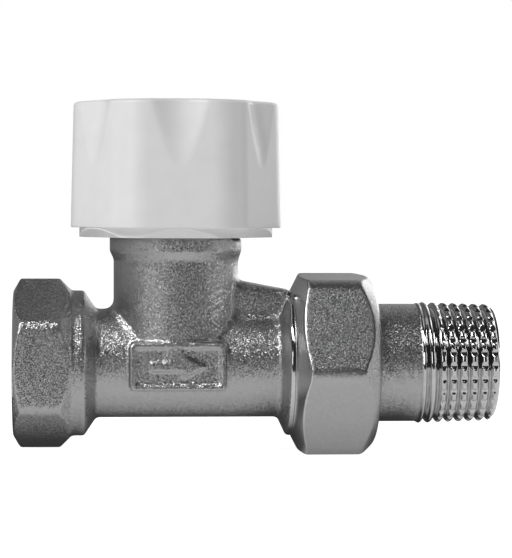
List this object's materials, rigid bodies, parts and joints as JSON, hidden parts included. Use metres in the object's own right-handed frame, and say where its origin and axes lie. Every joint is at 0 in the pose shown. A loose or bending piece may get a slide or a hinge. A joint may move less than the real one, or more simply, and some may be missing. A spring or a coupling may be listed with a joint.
{
  "type": "straight radiator valve",
  "caption": "Straight radiator valve body in nickel-plated brass with a white hand cap, an inlet socket and an outlet union with nut and threaded tail.",
  "frame": {"origin": "centre of the inlet socket's mouth, on the flow axis", "axes": "+X along the flow towards the threaded tail, +Z along the stem towards the cap, front at -Y"},
  "size_m": [0.0836, 0.034, 0.0611],
  "materials": {
    "nickel_blasted": "sand-blasted nickel plate",
    "nickel_polished": "bright nickel plate",
    "turned_brass": "turned",
    "stainless_steel": "drawn",
    "seal_rubber": "moulded",
    "guide_plastic": "moulded",
    "white_plastic": "glossy moulded"
  },
  "bodies": {
    "valve": {"valve_body": "nickel_blasted", "bonnet": "nickel_polished", "bonnet_seal": "seal_rubber", "gland_nut": "turned_brass", "gland_seal": "seal_rubber", "gland_bush": "guide_plastic", "pin_seal": "seal_rubber", "return_spring": "stainless_steel"},
    "stem": {"stem": "stainless_steel", "pressure_pin": "stainless_steel", "spring_plate": "stainless_steel", "retaining_clip": "stainless_steel", "disc_holder": "turned_brass", "seal_disc": "seal_rubber", "disc_screw": "stainless_steel"},
    "cap": {"cap_shell": "white_plastic", "cap_ring": "white_plastic"},
    "tail": {"tailpiece": "nickel_polished", "tail_o_ring": "seal_rubber"},
    "nut": {"union_nut": "nickel_blasted"}
  },
  "joints": [
    {"name": "stem_slide", "type": "slide", "parent": "valve", "child": "stem", "axis": [0, 0, 1], "range_m": [-0.0025, 0], "deforming": ["return_spring"]},
    {"name": "cap_turn", "type": "hinge", "parent": "stem", "child": "cap", "pos_m": [0.0281, 0, 0.03], "axis": [0, 0, 1], "range_deg": [-600, 0]},
    {"name": "tail_slide", "type": "slide", "parent": "valve", "child": "tail", "axis": [1, 0, 0], "range_m": [0, 0.00675]},
    {"name": "nut_turn", "type": "hinge", "parent": "tail", "child": "nut", "pos_m": [0.055, 0, 0], "axis": [1, 0, 0], "range_deg": [0, 1620]}
  ],
  "couplings": [
    {"joint": "stem_slide", "follows": "cap_turn", "m_per_rad": 0.00023873},
    {"joint": "tail_slide", "follows": "nut_turn", "m_per_rad": 0.00023873}
  ]
}
